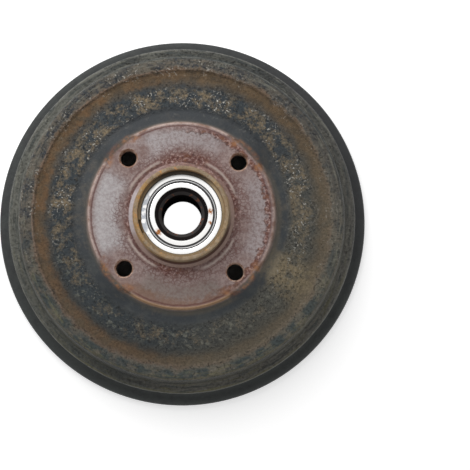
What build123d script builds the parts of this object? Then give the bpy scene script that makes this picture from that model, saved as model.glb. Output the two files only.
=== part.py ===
from build123d import *
import os

# A rear brake drum cast in one piece with its wheel hub, and the double row wheel bearing
# that is fitted in the hub. Millimetres. The axle line is Z, the open rim stands on Z = 0
# and the wheel side faces up.

# Rim and braking band
rim_diameter = 246.0
rim_thickness = 9.0
rim_flange_width = 8.5
rim_edge_radius = 2.5
band_diameter = rim_diameter - 2 * rim_flange_width
band_height = 25.0
band_wall = 12.9
band_edge_radius = 1.6
band_foot_radius = 2.5
brake_diameter = band_diameter - 2 * band_wall
brake_width = 30.0
brake_entry_chamfer = 1.5
brake_corner_radius = 3.0

# Shoulder, ring groove and dished web
shoulder_ledge_width = 6.5
shoulder_draft = 3.0
shoulder_diameter = band_diameter - 2 * (shoulder_ledge_width + shoulder_draft)
shoulder_height = 42.0
shoulder_width = 8.5
shoulder_edge_radius = 2.5
shoulder_foot_radius = 2.5
groove_diameter = shoulder_diameter - 2 * shoulder_width
groove_depth = 1.3
groove_width = 4.0
groove_wall_slope = 1.2
groove_corner_radius = 1.0
web_thickness = 7.0
web_blend_radius = 8.0
web_blend_share = 0.4
apron_width = 9.0
apron_drop = 1.6

# Wheel plate
plate_diameter = 119.0
plate_height = 52.0
plate_thickness = 11.0
plate_step = 4.4
plate_bevel = 1.1
plate_foot_width = 1.6
plate_foot_radius = 2.0

# Tapped wheel bolt holes and the pads round them
bolt_circle = 100.0
bolt_count = 4
bolt_hole_diameter = 10.5
bolt_countersink_diameter = 13.0
bolt_pad_diameter = 21.5
bolt_pad_foot_diameter = 33.0
bolt_pad_drop = 0.3

# Wheel centring spigot and hub barrel
spigot_diameter = 60.0
spigot_height = 12.0
spigot_mouth_chamfer = 0.6
spigot_edge_chamfer = 0.5
spigot_foot_diameter = 67.4
spigot_foot_cone_height = 4.2
spigot_foot_step = 0.7
barrel_diameter = 76.0
barrel_bottom = 9.5
barrel_blend_radius = 5.0
barrel_edge_radius = 2.0
bearing_shoulder_diameter = 48.0

# Bearing rings
bearing_bore = 25.0
bearing_diameter = 55.0
bearing_width = 43.0
bearing_recess = 7.0
bearing_press_gap = 0.01
ring_corner_chamfer = 0.8
inner_land_diameter = 40.4
outer_land_diameter = 45.0
inner_low_land_diameter = 35.6
outer_middle_land_diameter = 44.4
bore_entry_diameter = 34.0
bore_entry_depth = 1.4
bore_throat_diameter = 29.4
bore_throat_depth = 3.6
inboard_bore_chamfer = 2.0

# Balls and cages
ball_diameter = 8.0
ball_count = 13
ball_circle = 42.0
ball_row_spacing = 19.0
ball_running_gap = 0.05
cage_wall = 3.2
cage_back = 7.0
cage_front = 1.5
cage_pocket_gap = 0.2

# Seals and snap ring
seal_width = 3.0
seal_setback = 0.4
seal_face_thickness = 1.0
seal_case_wall = 0.9
seal_lip_gap = 0.15
seal_press_gap = 0.01
snap_ring_thickness = 2.0
snap_ring_inner_diameter = 51.0
snap_ring_groove_depth = 1.0
snap_ring_groove_gap = 0.1
snap_ring_open_width = 9.0

# Places worked out from the sizes above
rim_r = rim_diameter / 2
band_r = band_diameter / 2
brake_r = brake_diameter / 2
shoulder_r = shoulder_diameter / 2
groove_r = groove_diameter / 2
groove_floor = shoulder_height - groove_depth
groove_floor_r = groove_r - groove_wall_slope
plate_r = plate_diameter / 2
plate_foot_r = plate_r + plate_foot_width
apron_top = plate_height - plate_step
spigot_r = spigot_diameter / 2
spigot_top = plate_height + spigot_height
spigot_foot_r = spigot_foot_diameter / 2
spigot_foot_top = plate_height + spigot_foot_step
barrel_r = barrel_diameter / 2
seat_r = bearing_diameter / 2
bearing_face = spigot_top - bearing_recess
bearing_back = bearing_face - bearing_width
bearing_middle = (bearing_face + bearing_back) / 2
bearing_bore_r = bearing_bore / 2
outer_ring_r = seat_r - bearing_press_gap
ball_circle_r = ball_circle / 2
race_r = ball_diameter / 2 + ball_running_gap
outboard_row = bearing_middle + ball_row_spacing / 2
inboard_row = bearing_middle - ball_row_spacing / 2
inner_land_r = inner_land_diameter / 2
inner_low_land_r = inner_low_land_diameter / 2
outer_land_r = outer_land_diameter / 2
outer_middle_land_r = outer_middle_land_diameter / 2
snap_groove_r = seat_r + snap_ring_groove_depth
snap_groove_top = bearing_face + snap_ring_thickness + snap_ring_groove_gap


def section(outline, rounds=(), bevels=()):
    """The face inside a closed outline of (radius, height) points, with named corners rounded or bevelled."""
    with BuildSketch(Plane.XZ) as shape:
        with BuildLine():
            Polyline(*outline, close=True)
        make_face()
        for corner, radius in rounds:
            fillet(shape.vertices().sort_by_distance(corner)[0], radius)
        for corner, length in bevels:
            chamfer(shape.vertices().sort_by_distance(corner)[0], length)
    return shape.sketch


# The casting's outline, from the spigot mouth out to the rim and back along the inside
mouth = (seat_r, spigot_top)
spigot_edge = (spigot_r, spigot_top)
plate_edge = (plate_r, plate_height)
plate_foot = (plate_foot_r, apron_top)
apron_end = (plate_foot_r + apron_width, apron_top - apron_drop)
groove_inner_corner = (groove_floor_r - groove_width, groove_floor)
groove_outer_corner = (groove_floor_r, groove_floor)
shoulder_inner_edge = (groove_r, shoulder_height)
shoulder_edge = (shoulder_r, shoulder_height)
shoulder_foot = (shoulder_r + shoulder_draft, band_height)
band_edge = (band_r, band_height)
band_foot = (band_r, rim_thickness)
rim_top_edge = (rim_r, rim_thickness)
rim_bottom_edge = (rim_r, 0)
brake_entry = (brake_r, 0)
brake_corner = (brake_r, brake_width)
web_under_outer = (groove_inner_corner[0], groove_floor - web_thickness)
web_under_inner = (plate_foot_r, plate_height - plate_thickness)
barrel_root = (barrel_r, plate_height - plate_thickness)
barrel_edge = (barrel_r, barrel_bottom)
barrel_inner = (bearing_shoulder_diameter / 2, barrel_bottom)
bearing_stop_inner = (bearing_shoulder_diameter / 2, bearing_back)
bearing_stop = (seat_r, bearing_back)

casting_outline = [
    mouth,
    spigot_edge,
    (spigot_r, spigot_foot_top + spigot_foot_cone_height),
    (spigot_foot_r, spigot_foot_top),
    (spigot_foot_r, plate_height),
    plate_edge,
    plate_foot,
    apron_end,
    groove_inner_corner,
    groove_outer_corner,
    shoulder_inner_edge,
    shoulder_edge,
    shoulder_foot,
    band_edge,
    band_foot,
    rim_top_edge,
    rim_bottom_edge,
    brake_entry,
    brake_corner,
    web_under_outer,
    web_under_inner,
    barrel_root,
    barrel_edge,
    barrel_inner,
    bearing_stop_inner,
    bearing_stop,
]
web_slope = (Vector(*apron_end) - Vector(*groove_inner_corner)).length
web_blend = min(web_blend_radius, web_blend_share * web_slope)
casting_rounds = [
    (plate_foot, plate_foot_radius),
    (apron_end, web_blend),
    (groove_inner_corner, web_blend),
    (groove_outer_corner, groove_corner_radius),
    (shoulder_inner_edge, groove_corner_radius),
    (shoulder_edge, shoulder_edge_radius),
    (shoulder_foot, shoulder_foot_radius),
    (band_edge, band_edge_radius),
    (band_foot, band_foot_radius),
    (rim_top_edge, rim_edge_radius),
    (rim_bottom_edge, rim_edge_radius / 2),
    (brake_corner, brake_corner_radius),
    (barrel_root, barrel_blend_radius),
    (barrel_edge, barrel_edge_radius),
]
casting_bevels = [
    (mouth, spigot_mouth_chamfer),
    (spigot_edge, spigot_edge_chamfer),
    (plate_edge, plate_bevel),
    (brake_entry, brake_entry_chamfer),
]
snap_groove_outline = [
    (seat_r - snap_ring_groove_depth, bearing_face),
    (snap_groove_r, bearing_face),
    (snap_groove_r, snap_groove_top),
    (seat_r - snap_ring_groove_depth, snap_groove_top),
]
pad_height = plate_step + apron_drop
first_bolt_angle = 360 / bolt_count / 2

# The drum, web, plate, spigot and hub barrel are one iron casting
with BuildPart() as brake_drum:
    revolve(section(casting_outline, casting_rounds, casting_bevels), axis=Axis.Z)
    revolve(section(snap_groove_outline), axis=Axis.Z, mode=Mode.SUBTRACT)
    with Locations((0, 0, plate_height - bolt_pad_drop - pad_height)):
        with PolarLocations(bolt_circle / 2, bolt_count, start_angle=first_bolt_angle):
            Cone(
                bolt_pad_foot_diameter / 2,
                bolt_pad_diameter / 2,
                pad_height,
                align=(Align.CENTER, Align.CENTER, Align.MIN),
            )
    with Locations((0, 0, plate_height)):
        with PolarLocations(bolt_circle / 2, bolt_count, start_angle=first_bolt_angle):
            CounterSinkHole(
                bolt_hole_diameter / 2,
                bolt_countersink_diameter / 2,
                depth=2 * plate_thickness,
                counter_sink_angle=90,
            )
brake_drum.part.label = "brake_drum"

# The outer ring is pressed against the stop at the barrel's inboard end
outer_ring_outline = [
    (outer_ring_r, bearing_back),
    (outer_ring_r, bearing_face),
    (outer_land_r, bearing_face),
    (outer_land_r, outboard_row),
    (outer_middle_land_r, outboard_row),
    (outer_middle_land_r, inboard_row),
    (outer_land_r, inboard_row),
    (outer_land_r, bearing_back),
]
outer_ring_bevels = [
    ((outer_ring_r, bearing_back), ring_corner_chamfer),
    ((outer_ring_r, bearing_face), ring_corner_chamfer),
]
with BuildPart() as bearing_outer_ring:
    revolve(section(outer_ring_outline, bevels=outer_ring_bevels), axis=Axis.Z)
    with Locations((0, 0, outboard_row), (0, 0, inboard_row)):
        Torus(ball_circle_r, race_r, mode=Mode.SUBTRACT)
bearing_outer_ring.part.label = "bearing_outer_ring"


def inner_ring_outline(row, face, mouth_points):
    """One half of the inner ring: a low land inside the row, a high land outside it, then the bore's mouth."""
    return [
        (bearing_bore_r, bearing_middle),
        (inner_low_land_r, bearing_middle),
        (inner_low_land_r, row),
        (inner_land_r, row),
        (inner_land_r, face),
        *mouth_points,
    ]


# The outboard half has a wide bevelled mouth that leads the axle nut's collar in
outboard_mouth = [
    (bore_entry_diameter / 2, bearing_face),
    (bore_throat_diameter / 2, bearing_face - bore_entry_depth),
    (bearing_bore_r, bearing_face - bore_throat_depth),
]
with BuildPart() as outboard_inner_ring:
    revolve(section(inner_ring_outline(outboard_row, bearing_face, outboard_mouth)), axis=Axis.Z)
    with Locations((0, 0, outboard_row)):
        Torus(ball_circle_r, race_r, mode=Mode.SUBTRACT)
outboard_inner_ring.part.label = "outboard_inner_ring"

inboard_mouth = [
    (bearing_bore_r + inboard_bore_chamfer, bearing_back),
    (bearing_bore_r, bearing_back + inboard_bore_chamfer),
]
with BuildPart() as inboard_inner_ring:
    revolve(section(inner_ring_outline(inboard_row, bearing_back, inboard_mouth)), axis=Axis.Z)
    with Locations((0, 0, inboard_row)):
        Torus(ball_circle_r, race_r, mode=Mode.SUBTRACT)
inboard_inner_ring.part.label = "inboard_inner_ring"

# Two rows of balls
with BuildPart() as outboard_ball_row:
    with Locations((0, 0, outboard_row)):
        with PolarLocations(ball_circle_r, ball_count):
            Sphere(ball_diameter / 2)
outboard_ball_row.part.label = "outboard_ball_row"

with BuildPart() as inboard_ball_row:
    with Locations((0, 0, inboard_row)):
        with PolarLocations(ball_circle_r, ball_count):
            Sphere(ball_diameter / 2)
inboard_ball_row.part.label = "inboard_ball_row"

# Each cage is a ring on the middle side of its row, with a pocket snapped round every ball
cage_middle_r = (inner_low_land_r + outer_middle_land_r) / 2
cage_inner_r = cage_middle_r - cage_wall / 2
cage_outer_r = cage_middle_r + cage_wall / 2
pocket_r = ball_diameter / 2 + cage_pocket_gap


def cage_outline(back, front):
    """The cage ring's section between its back, by the bearing's middle, and its open front."""
    return [(cage_inner_r, back), (cage_outer_r, back), (cage_outer_r, front), (cage_inner_r, front)]


with BuildPart() as outboard_cage:
    revolve(section(cage_outline(outboard_row - cage_back, outboard_row + cage_front)), axis=Axis.Z)
    with Locations((0, 0, outboard_row)):
        with PolarLocations(ball_circle_r, ball_count):
            Sphere(pocket_r, mode=Mode.SUBTRACT)
outboard_cage.part.label = "outboard_cage"

with BuildPart() as inboard_cage:
    revolve(section(cage_outline(inboard_row + cage_back, inboard_row - cage_front)), axis=Axis.Z)
    with Locations((0, 0, inboard_row)):
        with PolarLocations(ball_circle_r, ball_count):
            Sphere(pocket_r, mode=Mode.SUBTRACT)
inboard_cage.part.label = "inboard_cage"

# Seals: a case leg in the outer ring's end land and a face disc that reaches to the inner ring
seal_case_r = outer_land_r - seal_press_gap
seal_lip_r = inner_land_r + seal_lip_gap


def seal_outline(face, inwards):
    """The seal's L section. face is the ring end it sits in, and inwards is the way to the balls."""
    front = face + inwards * seal_setback
    return [
        (seal_lip_r, front),
        (seal_case_r, front),
        (seal_case_r, front + inwards * seal_width),
        (seal_case_r - seal_case_wall, front + inwards * seal_width),
        (seal_case_r - seal_case_wall, front + inwards * seal_face_thickness),
        (seal_lip_r, front + inwards * seal_face_thickness),
    ]


with BuildPart() as outboard_seal:
    revolve(section(seal_outline(bearing_face, -1)), axis=Axis.Z)
outboard_seal.part.label = "outboard_seal"

with BuildPart() as inboard_seal:
    revolve(section(seal_outline(bearing_back, 1)), axis=Axis.Z)
inboard_seal.part.label = "inboard_seal"

# The snap ring springs into the barrel's groove and holds the outer ring down
snap_ring_inner_r = snap_ring_inner_diameter / 2
snap_ring_outer_r = snap_groove_r - snap_ring_groove_gap
snap_ring_outline = [
    (snap_ring_inner_r, bearing_face),
    (snap_ring_outer_r, bearing_face),
    (snap_ring_outer_r, bearing_face + snap_ring_thickness),
    (snap_ring_inner_r, bearing_face + snap_ring_thickness),
]
with BuildPart() as bearing_snap_ring:
    revolve(section(snap_ring_outline), axis=Axis.Z)
    with Locations((-snap_ring_outer_r, 0, bearing_face)):
        Box(
            2 * (snap_ring_outer_r - snap_ring_inner_r) + snap_ring_open_width,
            snap_ring_open_width,
            4 * snap_ring_thickness,
            mode=Mode.SUBTRACT,
        )
bearing_snap_ring.part.label = "bearing_snap_ring"

os.makedirs("parts", exist_ok=True)
export_step(brake_drum.part, "parts/brake_drum.step")
export_step(bearing_outer_ring.part, "parts/bearing_outer_ring.step")
export_step(bearing_snap_ring.part, "parts/bearing_snap_ring.step")
export_step(outboard_inner_ring.part, "parts/outboard_inner_ring.step")
export_step(inboard_inner_ring.part, "parts/inboard_inner_ring.step")
export_step(outboard_ball_row.part, "parts/outboard_ball_row.step")
export_step(inboard_ball_row.part, "parts/inboard_ball_row.step")
export_step(outboard_cage.part, "parts/outboard_cage.step")
export_step(inboard_cage.part, "parts/inboard_cage.step")
export_step(outboard_seal.part, "parts/outboard_seal.step")
export_step(inboard_seal.part, "parts/inboard_seal.step")
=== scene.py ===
# %% [markdown]
# # A used brake drum with its wheel bearing
# The drum is one iron casting: an open rim, a braking band, a dished web, a machined wheel plate
# and a spigot that centres the wheel. A double row bearing is pressed into its hub.
# The measured solids are loaded first and never moved. Everything made below is fitted to them,
# in metres, with the axle line on Z and the open rim standing on Z = 0.

# %% Load the measured solids
import math

import bmesh
import bpy
import numpy as np
from mathutils import Matrix, Vector


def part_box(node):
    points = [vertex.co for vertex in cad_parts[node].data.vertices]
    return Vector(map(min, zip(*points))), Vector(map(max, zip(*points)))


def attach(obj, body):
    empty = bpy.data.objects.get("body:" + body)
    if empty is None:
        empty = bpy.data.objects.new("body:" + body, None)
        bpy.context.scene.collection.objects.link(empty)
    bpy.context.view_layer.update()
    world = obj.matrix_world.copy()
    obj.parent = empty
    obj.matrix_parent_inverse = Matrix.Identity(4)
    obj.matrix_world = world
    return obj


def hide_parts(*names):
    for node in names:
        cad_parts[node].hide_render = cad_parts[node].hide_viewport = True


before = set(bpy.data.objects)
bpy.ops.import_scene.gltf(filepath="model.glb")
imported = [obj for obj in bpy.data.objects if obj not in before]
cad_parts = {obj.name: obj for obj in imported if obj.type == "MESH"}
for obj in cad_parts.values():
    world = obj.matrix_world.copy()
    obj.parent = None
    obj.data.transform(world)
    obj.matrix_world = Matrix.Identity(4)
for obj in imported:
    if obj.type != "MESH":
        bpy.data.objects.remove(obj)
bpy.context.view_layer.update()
print("solids:", sorted(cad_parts))

# %% [markdown]
# ## Turning a section
# Nearly every piece here was turned on a lathe or cast round, so one tool makes them all: a chain of
# vertices is drawn on the XZ plane as the piece's half section, its corners are rounded with a vertex
# bevel, its long edges are divided and the chain is spun round Z. Extruding rings one by one would
# give the same mesh, but each step would work on the whole mesh again and take far longer.

# %% Helpers for drawing a section
mm = 0.001
full_turn = 2 * math.pi
same_place = 1e-6


def start_clean():
    """Go back to object mode with nothing selected, so that an operator sees only what it is given."""
    if bpy.context.object and bpy.context.object.mode != "OBJECT":
        bpy.ops.object.mode_set(mode="OBJECT")
    bpy.ops.object.select_all(action="DESELECT")


def select_points(piece, places):
    """In edit mode, select only the vertices at these (radius, height) places."""
    mesh = bmesh.from_edit_mesh(piece.data)
    for vertex in mesh.verts:
        vertex.select = any((vertex.co - Vector((r, 0, z))).length < same_place for r, z in places)
    mesh.select_flush_mode()
    bmesh.update_edit_mesh(piece.data)


def draw_section(name, outline):
    """A closed chain of vertices through the outline's (radius, height) points, left in edit mode."""
    start_clean()
    first, last = outline[0], outline[-1]
    bpy.ops.mesh.primitive_plane_add(size=mm, location=(first[0], 0, first[1]))
    piece = bpy.context.object
    piece.name = name
    piece.data.name = name
    bpy.ops.object.transform_apply(location=True)
    bpy.ops.object.mode_set(mode="EDIT")
    bpy.ops.mesh.select_mode(type="VERT")
    bpy.ops.mesh.merge(type="CENTER")
    for (r0, z0), (r1, z1) in zip(outline, outline[1:]):
        bpy.ops.mesh.extrude_region_move(TRANSFORM_OT_translate={"value": (r1 - r0, 0, z1 - z0)})
    select_points(piece, [first, last])
    bpy.ops.mesh.edge_face_add()
    return piece


# %% Helpers for rounding, dividing and spinning it
def round_corner(piece, before, corner, after, radius, segments):
    """Replace a corner of the chain by an arc. The bevel's offset is the arc's tangent length."""
    arriving = Vector(corner) - Vector(before)
    leaving = Vector(after) - Vector(corner)
    select_points(piece, [corner])
    offset = radius * math.tan(arriving.angle(leaving) / 2)
    bpy.ops.mesh.bevel(offset=offset, segments=segments, profile=0.5, affect="VERTICES")


def divide_edge(piece, start, end, spacing):
    """Cut the straight edge that is left between two corners into lengths of about spacing."""
    line_start = Vector((start[0], 0, start[1]))
    direction = (Vector((end[0], 0, end[1])) - line_start).normalized()
    mesh = bmesh.from_edit_mesh(piece.data)

    def on_line(vertex):
        return direction.cross(vertex.co - line_start).length < same_place

    for vertex in mesh.verts:
        vertex.select = False
    length = 0.0
    for edge in mesh.edges:
        edge.select = all(on_line(vertex) for vertex in edge.verts)
        if edge.select:
            length = max(length, edge.calc_length())
    bmesh.update_edit_mesh(piece.data)
    cuts = math.ceil(length / spacing) - 1
    if cuts > 0:
        bpy.ops.mesh.select_mode(type="EDGE")
        bpy.ops.mesh.subdivide(number_cuts=cuts)
        bpy.ops.mesh.select_mode(type="VERT")


def spin_section(piece, steps, angle=full_turn):
    """Spin the chain round Z, close its seam and turn its faces outwards."""
    bpy.ops.mesh.select_all(action="SELECT")
    bpy.ops.mesh.spin(steps=steps, angle=angle, center=(0, 0, 0), axis=(0, 0, 1))
    bpy.ops.mesh.select_all(action="SELECT")
    bpy.ops.mesh.remove_doubles(threshold=same_place)
    bpy.ops.mesh.fill_holes(sides=0)
    bpy.ops.mesh.select_all(action="SELECT")
    bpy.ops.mesh.normals_make_consistent(inside=False)
    bpy.ops.object.mode_set(mode="OBJECT")


def smooth(piece, degrees=32):
    """Shade the piece smooth, with a crisp edge wherever two faces meet at more than this angle."""
    start_clean()
    piece.select_set(True)
    bpy.context.view_layer.objects.active = piece
    bpy.ops.object.shade_smooth_by_angle(angle=math.radians(degrees))


def faces_of(piece):
    """How many triangles a piece has."""
    return sum(len(polygon.vertices) - 2 for polygon in piece.data.polygons)


# %% [markdown]
# ## The casting's section
# The section goes from the spigot's mouth out over the wheel plate, the dished web, the ring groove and
# the shoulder to the rim, and back along the braking face, the web's underside and the hub barrel.
# Each corner has a name, a radius from the axle, a height, a rounding and the spacing of the edge that
# follows it. The spacing is fine where rust relief will be pressed into the iron later.

# %% Corners of the casting
_, drum_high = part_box("brake_drum")
rim_r = drum_high.x / mm
spigot_top = drum_high.z / mm
plate_height = 52.0
plate_edge_r = 59.5
seat_r = 27.5
bolt_circle_r = 50.0
cone_foot_r = 33.7

casting_corners = [
    ("groove_high", seat_r, 59.1, 0.0, 2.5),
    ("mouth", seat_r, spigot_top, 0.6, 1.2),
    ("spigot_edge", 30.0, spigot_top, 0.5, 2.4),
    ("spigot_wall_foot", 30.0, 56.9, 0.8, 1.4),
    ("cone_foot", cone_foot_r, 52.7, 0.3, 0.7),
    ("plate_inner", cone_foot_r, plate_height, 0.2, 0.9),
    ("plate_edge", plate_edge_r, plate_height, 1.3, 0.9),
    ("plate_foot", 61.1, 47.6, 2.0, 1.1),
    ("apron_end", 70.1, 46.0, 8.0, 1.0),
    ("groove_inner", 91.3, 40.7, 8.0, 1.2),
    ("groove_outer", 95.0, 40.7, 1.2, 1.2),
    ("shoulder_inner", 96.5, 42.0, 0.8, 1.1),
    ("shoulder_edge", 105.0, 42.0, 2.5, 2.4),
    ("shoulder_foot", 108.0, 25.0, 2.5, 1.4),
    ("band_edge", 114.5, 25.0, 1.6, 2.6),
    ("band_foot", 114.5, 9.0, 2.5, 1.6),
    ("rim_top", rim_r, 9.0, 2.5, 2.6),
    ("rim_bottom", rim_r, 0.0, 1.25, 5.0),
    ("brake_entry", 101.6, 0.0, 1.5, 3.2),
    ("brake_corner", 101.6, 30.0, 3.0, 3.6),
    ("web_under_outer", 91.3, 33.7, 4.0, 3.6),
    ("web_under_inner", 61.1, 41.0, 4.0, 4.5),
    ("barrel_root", 38.0, 41.0, 5.0, 5.0),
    ("barrel_edge", 38.0, 9.5, 2.0, 5.0),
    ("barrel_inner", 24.0, 9.5, 0.6, 3.0),
    ("stop_inner", 24.0, 14.0, 0.3, 3.0),
    ("stop_outer", seat_r, 14.0, 0.3, 8.0),
    ("groove_low", seat_r, 57.0, 0.0, 2.0),
    ("groove_back_low", 28.5, 57.0, 0.0, 2.0),
    ("groove_back_high", 28.5, 59.1, 0.0, 2.0),
]
casting_outline = [(r * mm, z * mm) for _, r, z, _, _ in casting_corners]
casting_edges = list(zip(casting_corners, casting_corners[1:] + casting_corners[:1]))
along = {}
along_total = 0.0
for (name, r, z, _, _), (_, next_r, next_z, _, _) in casting_edges:
    along[name] = along_total
    along_total += math.hypot(next_r - r, next_z - z)
print(f"the section is {along_total:.1f} mm round, with {len(casting_corners)} corners")

# %% [markdown]
# ## Spinning the casting
# The chain is rounded corner by corner. Large roundings get more segments. With 324 steps the silhouette
# is smooth, the faces are about as wide as they are long, and the piece stays under 200,000 triangles.

# %% Draw, round, divide and spin
turn_steps = 324
casting = draw_section("drum_casting", casting_outline)
count = len(casting_corners)
for i, (_, _, _, rounding, _) in enumerate(casting_corners):
    if rounding > 0:
        before, after = casting_outline[i - 1], casting_outline[(i + 1) % count]
        segments = 2 if rounding < 1 else 3 if rounding < 4 else 5
        round_corner(casting, before, casting_outline[i], after, rounding * mm, segments)
for i, (_, _, _, _, spacing) in enumerate(casting_corners):
    divide_edge(casting, casting_outline[i], casting_outline[(i + 1) % count], spacing * mm)
spin_section(casting, turn_steps)
print("casting:", len(casting.data.vertices), "vertices,", faces_of(casting), "triangles")

# %% [markdown]
# ## Where each point lies along the section
# Paint, rust and machined faces follow the section: a zone begins at one corner and ends at the next.
# So every vertex keeps its distance along the section, in millimetres, as an attribute of the mesh.
# A pattern by radius alone could not tell the outside of a wall from its inside.

# %% Measure the distance along the section
def points_of(piece):
    """The piece's vertices as an array, in millimetres."""
    flat = np.empty(3 * len(piece.data.vertices))
    piece.data.vertices.foreach_get("co", flat)
    return flat.reshape(-1, 3) / mm


def move_points(piece, points):
    """Put the piece's vertices at these places, given in millimetres."""
    piece.data.vertices.foreach_set("co", (points * mm).ravel())
    piece.data.update()


def distance_along(points):
    """Distance along the casting's section of the place nearest to each point."""
    radius, height = np.hypot(points[:, 0], points[:, 1]), points[:, 2]
    nearest = np.full(len(points), np.inf)
    result = np.zeros(len(points))
    for (name, r, z, _, _), (_, next_r, next_z, _, _) in casting_edges:
        length = math.hypot(next_r - r, next_z - z)
        ahead = ((next_r - r) / length, (next_z - z) / length)
        share = np.clip((radius - r) * ahead[0] + (height - z) * ahead[1], 0, length)
        gap = np.hypot(radius - r - share * ahead[0], height - z - share * ahead[1])
        closer = gap < nearest
        nearest[closer] = gap[closer]
        result[closer] = along[name] + share[closer]
    return result


def keep_attribute(piece, name, values):
    """Store one number for each vertex, for materials to read."""
    attribute = piece.data.attributes.get(name) or piece.data.attributes.new(name, "FLOAT", "POINT")
    attribute.data.foreach_set("value", values.astype(np.float32))


casting_points = points_of(casting)
casting_along = distance_along(casting_points)
keep_attribute(casting, "along", casting_along)
print("distance along the section runs to", round(float(casting_along.max()), 1), "mm")

# %% [markdown]
# ## Bolt pads and the spigot's foot
# Four pads flow out of the plate round the bolt holes, softly, as cast iron does. A cone joined with a
# Boolean would leave a hard crease, so the vertices are lifted to the pad's height instead, with a soft
# maximum where pad and web meet. The turned face also leaves four short raised arcs at the spigot's
# foot, in line with the holes, and a shallow moat between them.

# %% Lift the pads and the arcs
pad_top_r = 12.0
pad_foot_r = 22.0
pad_top = plate_height
pad_foot = 45.7
pad_blend = 1.6
bolt_xy = bolt_circle_r * math.sqrt(0.5)
foot_arc_r = 36.9
foot_arc_width = 1.0
foot_arc_rise = 0.6
foot_arc_half_angle = 21.0
moat_depth = 0.35


def bolt_distance(points):
    """Distance of each point from the nearest bolt hole's axis."""
    return np.hypot(np.abs(points[:, 0]) - bolt_xy, np.abs(points[:, 1]) - bolt_xy)


def ease(low, high, values):
    """0 below low, 1 above high and a smooth rise between them."""
    share = np.clip((values - low) / (high - low), 0, 1)
    return share * share * (3 - 2 * share)


def lift_pads(points, places):
    """Raise the outside of the web to the pads with a soft maximum."""
    slope = (pad_top - pad_foot) / (pad_foot_r - pad_top_r)
    pad = pad_top - slope * np.clip(bolt_distance(points) - pad_top_r, 0, None)
    outside = (places > along["plate_inner"]) & (places < along["groove_inner"])
    gap = points[:, 2] - pad
    lifted = (points[:, 2] + pad + np.sqrt(gap * gap + pad_blend * pad_blend)) / 2
    lifted -= pad_blend * pad_blend / (4 * np.maximum(np.abs(gap), pad_blend))
    high = np.maximum(np.minimum(lifted, plate_height), points[:, 2])
    points[:, 2] = np.where(outside & (pad > pad_foot - 2), high, points[:, 2])


def raise_foot_arcs(points, places):
    """A low ridge at the spigot's foot in line with each hole, and a moat between the ridges."""
    radius = np.hypot(points[:, 0], points[:, 1])
    angle = np.degrees(np.arctan2(points[:, 1], points[:, 0]))
    off_hole = np.abs((angle % 90) - 45)
    near_hole = 1 - ease(foot_arc_half_angle - 5, foot_arc_half_angle + 3, off_hole)
    ring = np.exp(-(((radius - foot_arc_r) / foot_arc_width) ** 2))
    on_plate = (places > along["plate_inner"] - 0.1) & (places < along["plate_edge"] - 10)
    change = ring * (near_hole * (foot_arc_rise + moat_depth) - moat_depth)
    points[:, 2] += np.where(on_plate, change, 0)


lift_pads(casting_points, casting_along)
raise_foot_arcs(casting_points, casting_along)
move_points(casting, casting_points)
print("pads stand", round(pad_top - pad_foot, 1), "mm above the web")

# %% [markdown]
# ## Tapped bolt holes
# The wheel bolts screw into an M12 thread. The cutter is a circle extruded ring by ring, with its radius
# waved along a helix, and a cone at its top for the countersink. One cutter is modelled, copied three
# times and turned round the axle. A single Boolean then cuts all four holes.

# %% Model one threaded cutter
hole_r = 5.25
thread_r = 6.0
thread_pitch = 1.75
sink_r = 6.1
cutter_low = 39.5
cutter_high = 54.0
thread_end = 50.6
rings_per_pitch = 6
cutter_sides = 36

start_clean()
cutter_foot = Vector((bolt_xy, bolt_xy, cutter_low)) * mm
bpy.ops.mesh.primitive_circle_add(
    vertices=cutter_sides, radius=hole_r * mm, fill_type="NGON", location=cutter_foot
)
cutter = bpy.context.object
bpy.ops.object.transform_apply(location=True)
bpy.ops.object.mode_set(mode="EDIT")
bpy.ops.mesh.select_all(action="SELECT")
ring_rise = thread_pitch / rings_per_pitch
ring_count = int((thread_end - cutter_low) / ring_rise)
for _ in range(ring_count):
    bpy.ops.mesh.extrude_region_move(TRANSFORM_OT_translate={"value": (0, 0, ring_rise * mm)})
sink_low = cutter_low + ring_count * ring_rise
for ring_top in (plate_height, cutter_high):
    sink_rise = (ring_top - sink_low) * mm
    bpy.ops.mesh.extrude_region_move(TRANSFORM_OT_translate={"value": (0, 0, sink_rise)})
    sink_low = ring_top
bpy.ops.mesh.select_all(action="SELECT")
bpy.ops.mesh.normals_make_consistent(inside=False)
bpy.ops.object.mode_set(mode="OBJECT")

# %% Wave it along a helix and cut the four holes
cutter_points = points_of(cutter)
from_axis = cutter_points[:, :2] - bolt_xy
turn = np.arctan2(from_axis[:, 1], from_axis[:, 0]) / full_turn
phase = (cutter_points[:, 2] / thread_pitch - turn) % 1
wave = 1 - np.abs(2 * phase - 1)
fade = 1 - ease(thread_end - 1.5, thread_end - 0.3, cutter_points[:, 2])
cutter_r = hole_r + (thread_r - hole_r) * wave * fade
sink = np.clip(cutter_points[:, 2] - (plate_height - (sink_r - hole_r)), 0, None)
cutter_r = np.where(sink > 0, np.maximum(cutter_r, hole_r + sink), cutter_r)
cutter_points[:, :2] = bolt_xy + from_axis / hole_r * cutter_r[:, None]
move_points(cutter, cutter_points)

cutters = [cutter]
for quarter in range(1, 4):
    copy = cutter.copy()
    copy.data = cutter.data.copy()
    bpy.context.collection.objects.link(copy)
    copy.data.transform(Matrix.Rotation(quarter * full_turn / 4, 4, "Z"))
    cutters.append(copy)
start_clean()
for one in cutters:
    one.select_set(True)
bpy.context.view_layer.objects.active = cutter
bpy.ops.object.join()


def apply_modifier(piece, kind, **settings):
    """Add a modifier with these settings and apply it at once."""
    start_clean()
    bpy.context.view_layer.objects.active = piece
    modifier = piece.modifiers.new(kind.title(), kind)
    for key, value in settings.items():
        setattr(modifier, key, value)
    bpy.ops.object.modifier_apply(modifier=modifier.name)


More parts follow.
